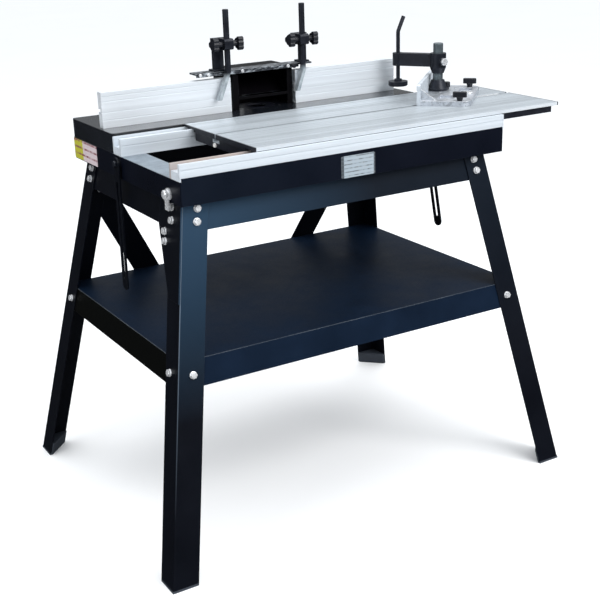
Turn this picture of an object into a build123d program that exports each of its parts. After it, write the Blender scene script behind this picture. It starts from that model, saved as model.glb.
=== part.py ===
from build123d import *
import os
from math import atan, cos, degrees, radians, sin, sqrt

# Router table with a sliding table, a split fence and a splayed sheet-steel stand.
# Millimetres. X runs along the table (the work travels along X), Y from front to back, Z up.
# Places are measured from the table box's front left corner, on the floor. save() then
# moves each piece so that the origin is on the floor under the middle of the outline.

# ---- table ----
TABLE_LENGTH = 850.0
TABLE_DEPTH = 600.0
TOP_Z = 900.0               # the working surface
FRAME_TOP_Z = 855.0         # upper edge of the table box
STAND_TOP_Z = 803.0         # lower edge of the table box, and the top of the stand
FRAME_SHEET = 2.5
FRONT_LIP_Z = 862.0         # the box's front wall rises to here, before the rail's foot
END_FLANGE = 60.0           # in-turned flange at each end of the box
FIXED_FRONT_Y = 350.0       # the fixed table fills from here to the back
FIXED_SKIRT = 8.0
BIT_X, BIT_Y = 435.0, 462.0

# ---- stand ----
STAND_X, STAND_Y = 416.0, 297.0          # centre of the stand
STAND_HALF_X, STAND_HALF_Y = 400.0, 266.0  # half its outline at the top
SPLAY = 150.0               # how far each foot stands out past the top, both ways
LEG_WIDTH = 61.0
LEG_SHEET = 3.0
BEND = 3.5                  # outer bend radius of the folded sheet
RAIL_SHEET = 2.5
RAIL_BOTTOM_Z = 740.0
SHELF_TOP_Z = 480.0
SHELF_BOTTOM_Z = 420.0
SHELF_SHEET = 2.0
FOOT_SOLE = 5.0
FOOT_PLUG_Z = 34.0
TILT = atan(SPLAY / STAND_TOP_Z)         # lean of each stand face

# ---- bolts ----
BOLT_R = 4.0
BOLT_HOLE_R = 4.25
BOLT_FLATS = 13.0
BOLT_ROWS_Z = (788.0, 761.0)
BOLT_IN_X, BOLT_IN_Y = 35.0, 40.0        # from the leg's corner
SHELF_BOLT_Z = 449.0
BRACE_TOP_Z, BRACE_LOW_Z = 722.0, 449.0
BRACE_TOP_IN, BRACE_LOW_OUT = 372.0, 226.0   # bolt distances from the stand's centre
BRACE_WIDTH = 64.0

# ---- rails and sliding table ----
FRONT_RAIL_TOP_Z = 891.0
REAR_RAIL_TOP_Z = 894.3
RAIL_CAP = 2.5              # plate that closes each end of a rail
RAIL_FLOOR_Z = 873.0
FRONT_RAIL_Y = (0.0, 48.0)
REAR_RAIL_Y = (302.0, 346.0)
GLIDE_TOP_Z = 876.8
SLIDE_OFFSET = 180.0        # the sliding table is parked this far to the right
PLANK_THICK = 8.0
TABLE_EDGE_Y = (8.0, 348.6)
SLIDE_X = (SLIDE_OFFSET, SLIDE_OFFSET + TABLE_LENGTH)
CAP = 3.0                   # end cap of the sliding table
RECESS_Z = 894.8            # underside of the rear plank over the rear rail
SLOT_Y = 193.0              # T-slot that the mitre gauge runs in
SLOT_WIDTH = 10.0

# ---- fence ----
FENCE_FACE_Y = 417.0
BOARD_THICK = 19.8
BOARD_TOP_Z = 983.0
LEFT_BOARD_X = (8.0, 344.0)
RIGHT_BOARD_X = (527.0, 830.0)
FENCE_GAP = 0.2             # running gap under and behind the fence's sliding pieces
HOOD_X = (354.0, 522.0)
HOOD_Y = (424.0, 528.0)
HOOD_TOP_Z = 996.0
PORT_R = 31.5
PORT_Z = 943.0
HOLD_DOWN_X = (331.5, 542.0)
HOLD_DOWN_Y = 403.0         # in front of the fence, so that the fingers reach the work
UPRIGHT_X = ((306.0, 334.0), (548.0, 568.0))
UPRIGHT_Y = 432.0
CLAMP_Z = (1065.0, 1059.0)
COLLAR_HALF = 12.0          # the clamp blocks reach this far left and right of the rods
ROD_R = 7.25

# ---- mitre gauge and work clamp ----
# Laid out from the pivot: U runs along the gauge's fence plate, V from the pivot towards it.
PIVOT_X = 899.0
FENCE_BACK = 113.0          # V of the fence plate's working face
PLATE_HALF = 122.0
BASE_TOP_Z = 912.0
KNOB_UV = ((-112.0, 9.0), (100.0, 6.0))
POST_UV = (43.5, 82.0)
SCREW_UV = (63.0, 188.0)
LOCK_UV = (59.5, 60.1)
POST_R = 12.5

# ---- swinging stays and tongue ----
STAY_PIVOT_Y, STAY_PIVOT_Z = 318.0, 838.0
STAY_LENGTH = (300.0, 286.0)
STAY_LEAN = (0.8, -13.2)    # degrees from hanging, positive to the back
STUD_Y, STUD_Z = 58.0, 820.0
HINGE_X = (150.0, 676.0)
HINGE_Y, HINGE_Z = 570.5, 799.0

ORIGIN_X, ORIGIN_Y = 448.0, 297.0


def save(name, *pieces):
    """Write one node: a single solid, or a group of separate solids."""
    solids = [s for p in pieces for s in p.solids()]
    body = solids[0] if len(solids) == 1 else Compound(children=solids)
    body = body.moved(Location((-ORIGIN_X, -ORIGIN_Y, 0)))
    body.label = name
    export_step(body, f"parts/{name}.step")


def block(x, y, z):
    """A box between pairs of limits."""
    size = (x[1] - x[0], y[1] - y[0], z[1] - z[0])
    middle = ((x[0] + x[1]) / 2, (y[0] + y[1]) / 2, (z[0] + z[1]) / 2)
    return Pos(*middle) * Box(*size)


def post(x, y, z, r):
    """An upright cylinder between two heights."""
    return Pos(x, y, (z[0] + z[1]) / 2) * Cylinder(r, z[1] - z[0])


def prism(points, plane, depth):
    """A polygon drawn on a plane and pushed along its normal."""
    face = make_face(Polyline(*points, close=True))
    return extrude(plane * face, depth)


def along_x(points, x):
    """A Y-Z outline run between two X limits."""
    plane = Plane(origin=(x[0], 0, 0), x_dir=(0, 1, 0), z_dir=(1, 0, 0))
    return prism(points, plane, x[1] - x[0])


# ---------------------------------------------------------------- stand
def half_x(z):
    return STAND_HALF_X + SPLAY * (STAND_TOP_Z - z) / STAND_TOP_Z


def half_y(z):
    return STAND_HALF_Y + SPLAY * (STAND_TOP_Z - z) / STAND_TOP_Z


def frustum(z0, z1, inset_x, inset_y):
    """The stand's outline between two heights, inset from its sides and from front and back."""
    faces = []
    for z in (z0, z1):
        outline = Rectangle(2 * (half_x(z) - inset_x), 2 * (half_y(z) - inset_y))
        faces.append(Pos(STAND_X, STAND_Y, z) * outline)
    return loft(faces)


def face_plane(side, along, z, out=0.0):
    """A plane on a leaning face of the stand: side is +-1 for right/left, +-2 for back/front."""
    sign = 1 if side > 0 else -1
    if abs(side) == 1:
        origin = Vector(STAND_X + sign * half_x(z), along, z)
        normal = Vector(sign * cos(TILT), 0, sin(TILT))
        across = (0, 1, 0)
    else:
        origin = Vector(along, STAND_Y + sign * half_y(z), z)
        normal = Vector(0, sign * cos(TILT), sin(TILT))
        across = (1, 0, 0)
    return Plane(origin=origin + normal * out, x_dir=across, z_dir=normal)


def leg_bolt_planes(sx, sy, z, in_x, in_y):
    """Where a leg's two flanges take a bolt at one height."""
    x = STAND_X + sx * (half_x(z) - in_x)
    y = STAND_Y + sy * (half_y(z) - in_y)
    return [face_plane(2 * sy, x, z), face_plane(sx, y, z)]


def corner_planes(sx, sy):
    planes = []
    for z in BOLT_ROWS_Z:
        planes += leg_bolt_planes(sx, sy, z, BOLT_IN_X, BOLT_IN_Y)
    return planes + leg_bolt_planes(sx, sy, SHELF_BOLT_Z, BOLT_IN_X, BOLT_IN_Y)


def brace_planes(sx):
    """The brace's upper bolt goes through the leg, the lower one through the shelf."""
    upper = face_plane(2, STAND_X + sx * BRACE_TOP_IN, BRACE_TOP_Z)
    lower = face_plane(2, STAND_X + sx * BRACE_LOW_OUT, BRACE_LOW_Z)
    return [upper, lower]


def bracket_planes():
    return [face_plane(-1, 91.0, 732.0), face_plane(-1, 85.0, 712.0)]


CORNERS = [(sx, sy) for sy in (-1, 1) for sx in (-1, 1)]
HOLES = [p for c in CORNERS for p in corner_planes(*c)] + brace_planes(-1) + brace_planes(1)


def drill(solid, planes, r=BOLT_HOLE_R):
    for plane in planes:
        solid -= plane * Cylinder(r, 40)
    return solid


def leg(sx, sy):
    z0, z1 = FOOT_SOLE, STAND_TOP_Z
    w, t = LEG_WIDTH, LEG_SHEET
    steps = [(0, 0), (-w, 0), (-w, -t), (-t, -t), (-t, -w), (0, -w)]
    points = [(sx * a, sy * b) for a, b in steps]
    start = Vector(STAND_X + sx * half_x(z0), STAND_Y + sy * half_y(z0), z0)
    end = Vector(STAND_X + sx * half_x(z1), STAND_Y + sy * half_y(z1), z1)
    outline = make_face(Polyline(*points, close=True))
    outline = fillet(outline.vertices().sort_by_distance((0, 0, 0))[0], BEND)
    face = Pos(*start) * outline
    run = end - start
    solid = extrude(face, run.length, dir=run.normalized())
    own = corner_planes(sx, sy) + ([brace_planes(sx)[0]] if sy > 0 else [])
    return drill(solid, own)


def foot(sx, sy):
    """A moulded three-cornered foot: a sole under the leg and a plug inside its corner."""
    w = LEG_WIDTH
    corner = (STAND_X + sx * half_x(0), STAND_Y + sy * half_y(0))
    sole_points = [(0, 0), (-w, 0), (-w, -8), (-8, -w), (0, -w)]
    sole_face = make_face(Polyline(*[(sx * a, sy * b) for a, b in sole_points], close=True))
    run = Vector(-sx * SPLAY, -sy * SPLAY, STAND_TOP_Z).normalized()
    reach = run.Z
    sole = extrude(Pos(*corner, 0) * sole_face, FOOT_SOLE / reach, dir=run)
    t = LEG_SHEET + 0.1
    plug_points = [(-t, -t), (-w, -t), (-w, -8), (-8, -w), (-t, -w)]
    plug_face = make_face(Polyline(*[(sx * a, sy * b) for a, b in plug_points], close=True))
    plug = extrude(Pos(*corner, 0) * plug_face, FOOT_PLUG_Z / reach, dir=run)
    return sole + plug


def ring_pair(z0, z1, outer, inner):
    """The walls left when the inner inset (x, y) is cut out of the outer one."""
    return frustum(z0, z1, *outer) - frustum(z0, z1, *inner)


def stand_rail(side):
    """A C-section rail between two legs, its web on the inside of their flanges."""
    t, s = LEG_SHEET, RAIL_SHEET
    lip = 22.0
    low, high = RAIL_BOTTOM_Z, STAND_TOP_Z
    if abs(side) == 2:
        web = ring_pair(low, high, (t, t), (-1, t + s))
        outer, inner = (t + s + lip, t + s), (-1, t + s + lip)
    else:
        web = ring_pair(low, high, (t, t + s), (t + s, -1))
        outer, inner = (t + s, t + s + lip), (t + s + lip, -1)
    lips = [ring_pair(z, z + s, outer, inner) for z in (low, high - s)]
    solid = web + lips[0] + lips[1]
    axis = Axis.X if abs(side) == 1 else Axis.Y
    half = solid.solids().sort_by(axis)[-1 if side > 0 else 0]
    return drill(half, [p for p in HOLES if p.origin.Z > RAIL_BOTTOM_Z])


def shelf():
    t, s = LEG_SHEET, SHELF_SHEET
    low = SHELF_BOTTOM_Z
    tray = frustum(low, SHELF_TOP_Z, t, t) - frustum(low - 1, SHELF_TOP_Z - s, t + s, t + s)
    return drill(tray, [p for p in HOLES if p.origin.Z < SHELF_TOP_Z])


def brace(sx):
    """A flat strap in the leaning back face, outside the leg and the shelf."""
    top, low = (p.origin for p in brace_planes(sx))
    out = face_plane(2, top.X, top.Z)
    run = low - top
    direction = run.normalized()
    middle = (top + low) / 2
    plane = Plane(origin=middle, x_dir=direction, z_dir=out.z_dir)
    strap = extrude(plane * Rectangle(run.length + 44, BRACE_WIDTH), LEG_SHEET)
    strap = fillet(strap.edges().filter_by(Axis(middle, out.z_dir)), 9)
    return drill(strap, brace_planes(sx))


def hexagon(flats, height):
    return extrude(RegularPolygon(flats / sqrt(3), 6), height)


def bolt(plane, grip, spacer=0.0):
    """Hexagon bolt with a washer under its head, from outside a face inwards, and its nut."""
    washer = Cylinder(8.5, 1.6, align=(Align.CENTER, Align.CENTER, Align.MIN))
    shank = Cylinder(BOLT_R, grip + 10, align=(Align.CENTER, Align.CENTER, Align.MAX))
    head = Pos(0, 0, 1.6) * fillet(hexagon(BOLT_FLATS, 5.3).edges().group_by(Axis.Z)[-1], 0.6)
    body = washer + head + Pos(0, 0, 1.0) * shank
    nut = hexagon(BOLT_FLATS, 6.5) - Cylinder(BOLT_R, 40)
    pieces = [plane * body, plane * (Pos(0, 0, -grip - 6.5) * nut)]
    if spacer:
        ring = Cylinder(8.5, spacer) - Cylinder(BOLT_R, spacer)
        pieces.append(plane * (Pos(0, 0, -spacer / 2) * ring))
    return pieces


def stand_fasteners():
    pieces = []
    for sx, sy in CORNERS:
        for plane in corner_planes(sx, sy):
            at_shelf = plane.origin.Z < SHELF_TOP_Z
            grip = LEG_SHEET + (SHELF_SHEET if at_shelf else RAIL_SHEET)
            under_bracket = (sx, sy) == (-1, -1) and plane.z_dir.X < -0.5 and not at_shelf
            if under_bracket:
                plane, grip = plane.offset(LEG_SHEET), grip + LEG_SHEET
            pieces += bolt(plane, grip)
    for sx in (-1, 1):
        upper, lower = brace_planes(sx)
        pieces += bolt(upper.offset(LEG_SHEET), 2 * LEG_SHEET)
        pieces += bolt(lower.offset(LEG_SHEET), 2 * LEG_SHEET + SHELF_SHEET)
    for plane in bracket_planes():
        pieces += bolt(plane.offset(LEG_SHEET), LEG_SHEET)
    return pieces


def corner_gusset():
    """A tapered plate bolted over the side flange of the front left leg."""
    plane = Plane(origin=(0, 0, 0), x_dir=(0, 1, 0), z_dir=(1, 0, 0))
    low, knee, high = 600.0, 747.0, 800.0
    corner = [(STAND_Y - half_y(z), z) for z in (high, low)]
    points = corner + [(corner[1][0] + 50, low), (128, knee), (128, high)]
    slab = Pos(-80, 0, 0) * prism(points, plane, 120)
    skin = frustum(low, high, -LEG_SHEET, -1) - frustum(low, high, 0, -2)
    plate = (slab & skin).solids()[0]
    holes = [p for z in BOLT_ROWS_Z for p in leg_bolt_planes(-1, -1, z, 0, BOLT_IN_Y)[1:]]
    return drill(plate, holes + bracket_planes())


# ---------------------------------------------------------------- table box
def table_frame():
    low, high, t = STAND_TOP_Z, FRAME_TOP_Z, FRAME_SHEET
    length, depth = TABLE_LENGTH, TABLE_DEPTH
    box = block((0, length), (0, depth), (low, high))
    box = fillet(box.edges().filter_by(Axis.Z), BEND)
    box -= block((t, length - t), (t, depth - t), (low + t, high - t))
    box -= block((END_FLANGE, length - END_FLANGE), (24, depth - 24), (high - t - 1, high + 1))
    box -= block((32, length - 32), (32, depth - 32), (low - 1, low + t + 1))
    for side in (-1, 1):
        x = 0 if side < 0 else length
        hole = Pos(x, STAY_PIVOT_Y, STAY_PIVOT_Z) * (Rot(0, 90, 0) * Cylinder(4.0, 20))
        box -= hole
    box += block((RAIL_CAP + 1, length - RAIL_CAP - 1), (0, t), (high - 1, FRONT_LIP_Z))
    stud = Pos(0, STUD_Y, STUD_Z) * (Rot(0, 90, 0) * Cylinder(4.0, 20))
    return box - stud


def fixed_table():
    x, y, z = (0, TABLE_LENGTH), (FIXED_FRONT_Y, TABLE_DEPTH), (FRAME_TOP_Z, TOP_Z)
    body = block(x, y, z)
    body = fillet(body.edges().filter_by(Axis.Z), 8)
    body = fillet(body.edges().group_by(Axis.Z)[-1], 1.5)
    s = FIXED_SKIRT
    body -= block((s, TABLE_LENGTH - s), (y[0] + s, y[1] - s), (z[0] - 1, z[1] - 8))
    for rib_x in (200.0, 350.0, 520.0, 650.0):
        body += block((rib_x - 3, rib_x + 3), (y[0] + s, y[1] - s), (870, z[1] - 8))
    body -= post(BIT_X, BIT_Y, (890, 901), 43)
    body -= post(BIT_X, BIT_Y, (896, 901), 49)
    for sx in (-1, 1):
        for sy in (-1, 1):
            body -= post(BIT_X + sx * 45, BIT_Y + sy * 45, (890, 901), 3.3)
    return body


def insert_ring():
    ring = post(BIT_X, BIT_Y, (896, TOP_Z), 48.8) - post(BIT_X, BIT_Y, (890, 901), 24)
    ring -= post(BIT_X, BIT_Y, (898, 901), 27)
    return ring


def rail_outline(y, front_top, rear_top):
    """Section of an open-topped extruded rail: a channel over a hollow base."""
    low, floor = FRAME_TOP_Z, RAIL_FLOOR_Z
    back = [(y[0], low), (y[1], low), (y[1], rear_top), (y[1] - 6, rear_top), (y[1] - 6, floor)]
    front = [(y[0] + 8, floor), (y[0] + 8, front_top), (y[0], front_top)]
    return back + front


def rail(y, front_top, rear_top, set_back=0.0):
    """A rail with three hollow chambers, a fine groove along its front and a set-back foot."""
    x = (RAIL_CAP, TABLE_LENGTH - RAIL_CAP)
    past = (x[0] - 1, x[1] + 1)
    body = along_x(rail_outline(y, front_top, rear_top), x)
    wall = 3.0
    span = (y[1] - y[0] - set_back - 4 * wall) / 3
    for i in range(3):
        y0 = y[0] + set_back + wall + i * (span + wall)
        body -= block(past, (y0, y0 + span), (FRAME_TOP_Z + wall, RAIL_FLOOR_Z - wall))
    if set_back:
        body -= block(past, (y[0] - 1, y[0] + set_back), (FRAME_TOP_Z - 1, FRONT_LIP_Z + 0.2))
    return body - block(past, (y[0] - 1, y[0] + 1.2), (877.0, 879.5))


def rail_end_caps():
    """Plates on the four rail ends, cut to the rails' section."""
    caps = []
    for x0 in (0, TABLE_LENGTH - RAIL_CAP):
        x = (x0, x0 + RAIL_CAP)
        caps.append(along_x(rail_outline(FRONT_RAIL_Y, FRONT_RAIL_TOP_Z, 887), x))
        caps.append(along_x(rail_outline(REAR_RAIL_Y, REAR_RAIL_TOP_Z, REAR_RAIL_TOP_Z), x))
    return caps


def glide_strips():
    z = (RAIL_FLOOR_Z, GLIDE_TOP_Z)
    x = (20, TABLE_LENGTH - 20)
    return [block(x, (14, 38), z), block(x, (314, 336), z)]


def stay_bolts():
    """Shoulder bolts that the two stays swing on."""
    pieces = []
    for side in (-1, 1):
        face = 0 if side < 0 else TABLE_LENGTH
        outward = Plane(origin=(face, STAY_PIVOT_Y, STAY_PIVOT_Z), z_dir=(side, 0, 0))
        base = (Align.CENTER, Align.CENTER, Align.MIN)
        shape = Cylinder(9, 4.8, align=base) + Cylinder(4, 9.4, align=base)
        shape += Pos(0, 0, 9.2) * hexagon(BOLT_FLATS, 5)
        shape += Pos(0, 0, -9) * Cylinder(4, 10, align=base)
        pieces.append(outward * shape)
    return pieces


def stay(side):
    """A slotted flat bar that hangs outside the table box."""
    lean = radians(STAY_LEAN[0] if side < 0 else STAY_LEAN[1])
    length = STAY_LENGTH[0] if side < 0 else STAY_LENGTH[1]
    x0 = -9.0 if side < 0 else TABLE_LENGTH + 5.0
    down = (0, sin(lean), -cos(lean))
    plane = Plane(origin=(x0, STAY_PIVOT_Y, STAY_PIVOT_Z), x_dir=down, z_dir=(1, 0, 0))
    width, end_r = 28.0, 14.0
    bar = Pos(length / 2 - end_r / 2, 0, 0) * SlotOverall(length + end_r, width)
    slot = Pos(length / 2 + 8, 0, 0) * SlotOverall(length - 66, 11)
    sheet = bar - slot - Circle(4.06)
    return extrude(plane * sheet, 4.0)


def tongue_stud():
    """Stud on the table box that the tongue hangs from."""
    base = (Align.CENTER, Align.CENTER, Align.MIN)
    outward = Plane(origin=(0, STUD_Y, STUD_Z), z_dir=(-1, 0, 0))
    head = Pos(0, 0, 7.4) * chamfer(Cylinder(10, 6, align=base).edges().group_by(Axis.Z)[-1], 1.5)
    shape = Cylinder(13, 4, align=base) + Cylinder(5, 8, align=base) + head
    shape += Pos(0, 0, -8) * Cylinder(4, 9, align=base)
    return outward * shape


def tongue():
    """A short strap that hangs from its stud over the joint of table box and stand."""
    plane = Plane(origin=(-7.2, STUD_Y, STUD_Z), x_dir=(0, 1, 0), z_dir=(1, 0, 0))
    strap = Pos(0, -17, 0) * Rectangle(17, 34) + Circle(10.5)
    return extrude(plane * (strap - Circle(5.06)), 3.0)


def hinge_leaf(x_mid, knuckles, leaf):
    barrel = None
    for k in knuckles:
        x = x_mid - 30 + 20 * k
        piece = Pos(x, HINGE_Y, HINGE_Z) * (Rot(0, 90, 0) * Cylinder(4.0, 19.6))
        barrel = piece if barrel is None else barrel + piece
    body = barrel + leaf
    pin_hole = Pos(x_mid, HINGE_Y, HINGE_Z) * (Rot(0, 90, 0) * Cylinder(2.05, 90))
    return body - pin_hole


def hinge_stand_leaves():
    """Fixed leaves on the stand's back rail, with their pins."""
    pieces = []
    for x in HINGE_X:
        y0 = STAND_Y + half_y(793) - LEG_SHEET
        leaf = block((x - 39.8, x - 20.2), (y0 - 0.5, HINGE_Y + 0.5), (797.5, 800.5))
        leaf += block((x + 0.2, x + 19.8), (y0 - 0.5, HINGE_Y + 0.5), (797.5, 800.5))
        web = block((x - 39.8, x + 19.8), (y0 - 30, y0 + 4), (765, 800.5))
        skin = frustum(765, 801, 0, 0) - frustum(765, 801, 0, LEG_SHEET)
        leaf += (web & skin).solids().sort_by(Axis.Y)[-1]
        pieces.append(hinge_leaf(x, (0, 2), leaf))
        pin = Pos(x, HINGE_Y, HINGE_Z) * (Rot(0, 90, 0) * Cylinder(2.0, 82))
        pieces.append(pin)
    return pieces


def hinge_table_leaves():
    pieces = []
    for x in HINGE_X:
        leaf = None
        for k in (1, 3):
            x0 = x - 40 + 20 * k
            tab = block((x0 + 0.2, x0 + 19.8), (HINGE_Y - 2, TABLE_DEPTH - 4), (800.5, STAND_TOP_Z))
            leaf = tab if leaf is None else leaf + tab
        leaf += block((x - 19.8, x + 39.8), (HINGE_Y + 8, TABLE_DEPTH - 4), (800.5, STAND_TOP_Z))
        pieces.append(hinge_leaf(x, (1, 3), leaf))
    return pieces


def front_plate():
    plate = block((388, 478), (-1.0, 0), (804.5, 853.5))
    return fillet(plate.edges().filter_by(Axis.Y), 3)


def side_plate():
    plate = block((-0.8, 0), (452, 597), (805, 853))
    return fillet(plate.edges().filter_by(Axis.X), 2)


# ---------------------------------------------------------------- sliding table
def plank(index):
    """One extruded plank with a grooved top; the middle one carries the T-slot."""
    width = (TABLE_EDGE_Y[1] - TABLE_EDGE_Y[0]) / 3
    y0 = TABLE_EDGE_Y[0] + index * width
    y1 = y0 + width - 0.3
    x = (SLIDE_X[0] + CAP, SLIDE_X[1] - CAP)
    low = TOP_Z - PLANK_THICK
    body = block(x, (y0, y1), (low, TOP_Z))
    if index == 1:
        body += block(x, (SLOT_Y - 16, SLOT_Y + 16), (low - 12, low + 1))
        body -= block((x[0] - 1, x[1] + 1), (SLOT_Y - 10, SLOT_Y + 10), (low - 9, low - 1))
        mouth = (SLOT_Y - SLOT_WIDTH / 2, SLOT_Y + SLOT_WIDTH / 2)
        body -= block((x[0] - 1, x[1] + 1), mouth, (low - 2, TOP_Z + 1))
    if index == 2:
        body -= block((x[0] - 1, x[1] + 1), (300, 350), (low - 1, RECESS_Z))
    for k in range(1, 6):
        gy = y0 + 19.0 * k
        if abs(gy - SLOT_Y) > 8:
            body -= block((x[0] - 1, x[1] + 1), (gy - 0.7, gy + 0.7), (TOP_Z - 0.8, TOP_Z + 1))
    return body


def end_caps():
    """Strips that close the planks' ends, cut away over both rails and at the T-slot."""
    low = TOP_Z - PLANK_THICK
    caps = []
    for x0 in (SLIDE_X[0], SLIDE_X[1] - CAP):
        past = (x0 - 1, x0 + CAP + 1)
        cap = block((x0, x0 + CAP), TABLE_EDGE_Y, (low - 3, TOP_Z))
        cap -= block(past, (TABLE_EDGE_Y[0] - 1, 52), (880, low))
        cap -= block(past, (298, 350), (880, RECESS_Z))
        cap -= block(past, (SLOT_Y - SLOT_WIDTH / 2, SLOT_Y + SLOT_WIDTH / 2), (880, 901))
        caps.append(cap)
    return caps


def slide_bars():
    """Steel bars under the front and back edges that run in the two rails."""
    x = (SLIDE_X[0] + 6, SLIDE_X[1] - 20)
    return [block(x, (10, 38), (877.0, TOP_Z - PLANK_THICK)), block(x, (312, 338), (877.0, RECESS_Z))]


def carriage():
    """Folded sheet pan under the planks that ties them together."""
    x, y, z = (SLIDE_X[0] + CAP, SLIDE_X[1] - CAP), (52, 296), (869, TOP_Z - PLANK_THICK)
    t, flange = 2.5, 32.0
    pan = block(x, y, z)
    pan -= block((x[0] + t, x[1] - t), (y[0] + t, y[1] - t), (z[0] + t, z[1] + 1))
    pan -= block((x[0] + flange, x[1] - flange), (y[0] + flange, y[1] - flange), (z[0] - 1, z[1]))
    return pan - block((x[0] - 1, x[1] + 1), (SLOT_Y - 16.2, SLOT_Y + 16.2), (879.8, z[1] + 1))


def travel_bumpers():
    """A pad on each end of the carriage, where it meets a stop."""
    pads = []
    for x in ((SLIDE_X[0], SLIDE_X[0] + CAP), (SLIDE_X[1] - CAP, SLIDE_X[1])):
        pads.append(fillet(block(x, (191, 203), (870, 879)).edges().filter_by(Axis.X), 4))
    return pads


# ---------------------------------------------------------------- mitre gauge and work clamp
GAUGE = Plane(origin=(PIVOT_X, SLOT_Y, 0), x_dir=(1, 1, 0), z_dir=(0, 0, 1))


def gauge(shape):
    """From U, V, Z to the table's own directions, the gauge standing at 45 degrees."""
    return GAUGE * shape


def mitre_bar():
    """Bar in the T-slot, with the pivot stud that the head turns on."""
    x = (PIVOT_X - 120, PIVOT_X + 100)
    bar = block(x, (SLOT_Y - 9.6, SLOT_Y + 9.6), (884, 890))
    neck = block(x, (SLOT_Y - 4.8, SLOT_Y + 4.8), (889, 899.8))
    tenon = block((PIVOT_X - 7, PIVOT_X + 7), (SLOT_Y - 3, SLOT_Y + 3), (899, 901))
    stud = post(PIVOT_X, SLOT_Y, (900.2, BASE_TOP_Z + 3), 7.94)
    return bar + neck + tenon + stud + post(PIVOT_X, SLOT_Y, (BASE_TOP_Z + 0.2, BASE_TOP_Z + 3.5), 12)


def mitre_head():
    """Cast base of the gauge, flat under its fence plate."""
    back = FENCE_BACK - 9
    top = BASE_TOP_Z
    base = block((-PLATE_HALF, PLATE_HALF), (-18, back), (900.2, top))
    base = fillet(base.edges().filter_by(Axis.Z).sort_by(Axis.Y)[:2], 24)
    base -= block((-84, -30), (26, 66), (904, top + 1))
    base -= block((28, 84), (-4, 28), (904, top + 1))
    base -= Pos(-92, 88, 904) * extrude(SlotOverall(30, 9), 20)
    for u, v in ((-110, 44), (-60, 2), (10, 70), (112, 60), (72, 44)):
        base -= post(u, v, (904, top + 1), 4.2)
    for side in (-1, 1):
        rib = [(back, top - 1), (back, 940), (back - 40, top - 1)]
        plane = Plane(origin=(side * 112 - 4, 0, 0), x_dir=(0, 1, 0), z_dir=(1, 0, 0))
        base += prism(rib, plane, 8)
    base -= Cylinder(8.0, 2000)
    for u, v in (*KNOB_UV, LOCK_UV):
        base -= post(u, v, (895, 925), 4.06)
    return gauge(base)


def mitre_plate():
    """Upright extruded fence plate of the gauge, with one groove in its face."""
    y0 = FENCE_BACK - 9
    plate = block((-PLATE_HALF, PLATE_HALF), (y0, FENCE_BACK), (900.2, 951))
    plate = fillet(plate.edges().filter_by(Axis.Y).group_by(Axis.Z)[-1], 6)
    groove = block((-PLATE_HALF - 1, PLATE_HALF + 1), (FENCE_BACK - 2, FENCE_BACK + 1), (932, 936))
    return gauge(plate - groove)


def t_knob(u, v):
    """Clamp knob with a cross handle on a tapered neck, its stud turning in the base."""
    low, bar_z = BASE_TOP_Z + 0.2, 921.0
    neck = Pos(u, v, (low + bar_z + 1) / 2) * Cone(6.5, 8.5, bar_z + 1 - low)
    bar = block((u - 6.5, u + 6.5), (v - 17, v + 17), (bar_z, bar_z + 13))
    bar = fillet(bar.edges().filter_by(Axis.Z), 5.5)
    bar = fillet(bar.edges().group_by(Axis.Z)[-1], 2)
    return gauge(neck + bar + post(u, v, (902, low + 1), 4))


def lock_knob():
    """Small round knob beside the clamp's flange."""
    u, v = LOCK_UV
    low = BASE_TOP_Z + 0.2
    head = post(u, v, (low + 5, low + 19), 8)
    head = fillet(head.edges().group_by(Axis.Z)[-1], 3)
    return gauge(head + post(u, v, (low, low + 6), 5) + post(u, v, (902, low + 1), 4))


def clamp_flange():
    """Conical foot that the post turns in."""
    u, v = POST_UV
    low = BASE_TOP_Z
    flange = post(u, v, (low, low + 6), 25)
    flange += Pos(u, v, low + 16) * Cone(24, 16.5, 22)
    flange -= post(u, v, (900, 960), POST_R + 0.06)
    flange -= block((-80, 80), (FENCE_BACK - 9.2, 200), (900, 960))
    u, v = LOCK_UV
    return gauge(flange - post(u, v, (900, 960), 9.5))


def clamp_post():
    rod = post(*POST_UV, (BASE_TOP_Z + 0.5, 1031), POST_R)
    return gauge(chamfer(rod.edges().group_by(Axis.Z)[-1], 1.5))


BOSS_R = 20.5
ARM_Z = (972.0, 1004.0)


def clamp_arm():
    """Arm that slides on the post and reaches over the fence plate to the screw."""
    u, v = POST_UV
    reach = Vector(SCREW_UV[0] - u, SCREW_UV[1] - v, 0)
    lean = Plane(origin=(u, v, ARM_Z[0]), x_dir=reach, z_dir=(0, 0, 1))
    arm = lean * block((0, reach.length), (-11, 11), (0, ARM_Z[1] - ARM_Z[0]))
    arm += post(u, v, (970, 1006), BOSS_R) + Pos(u, v, 963) * Cone(POST_R + 2.5, BOSS_R, 14)
    arm += post(*SCREW_UV, ARM_Z, 14)
    arm = gauge(arm)
    arm += boss_face().offset(-18) * Cylinder(11, 21, align=(Align.CENTER, Align.CENTER, Align.MIN))
    arm -= gauge(post(u, v, (940, 1020), POST_R + 0.08))
    return arm - gauge(post(*SCREW_UV, (960, 1010), 5.06))


def boss_face():
    """Plane on the front of the arm's boss, facing the worker."""
    centre = GAUGE.from_local_coords((*POST_UV, 986))
    return Plane(origin=centre - Vector(0, BOSS_R, 0), x_dir=(1, 0, 0), z_dir=(0, -1, 0))


def arm_bolt():
    head = fillet(hexagon(17, 6).edges().group_by(Axis.Z)[-1], 0.8)
    return boss_face().offset(3) * head


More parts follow.
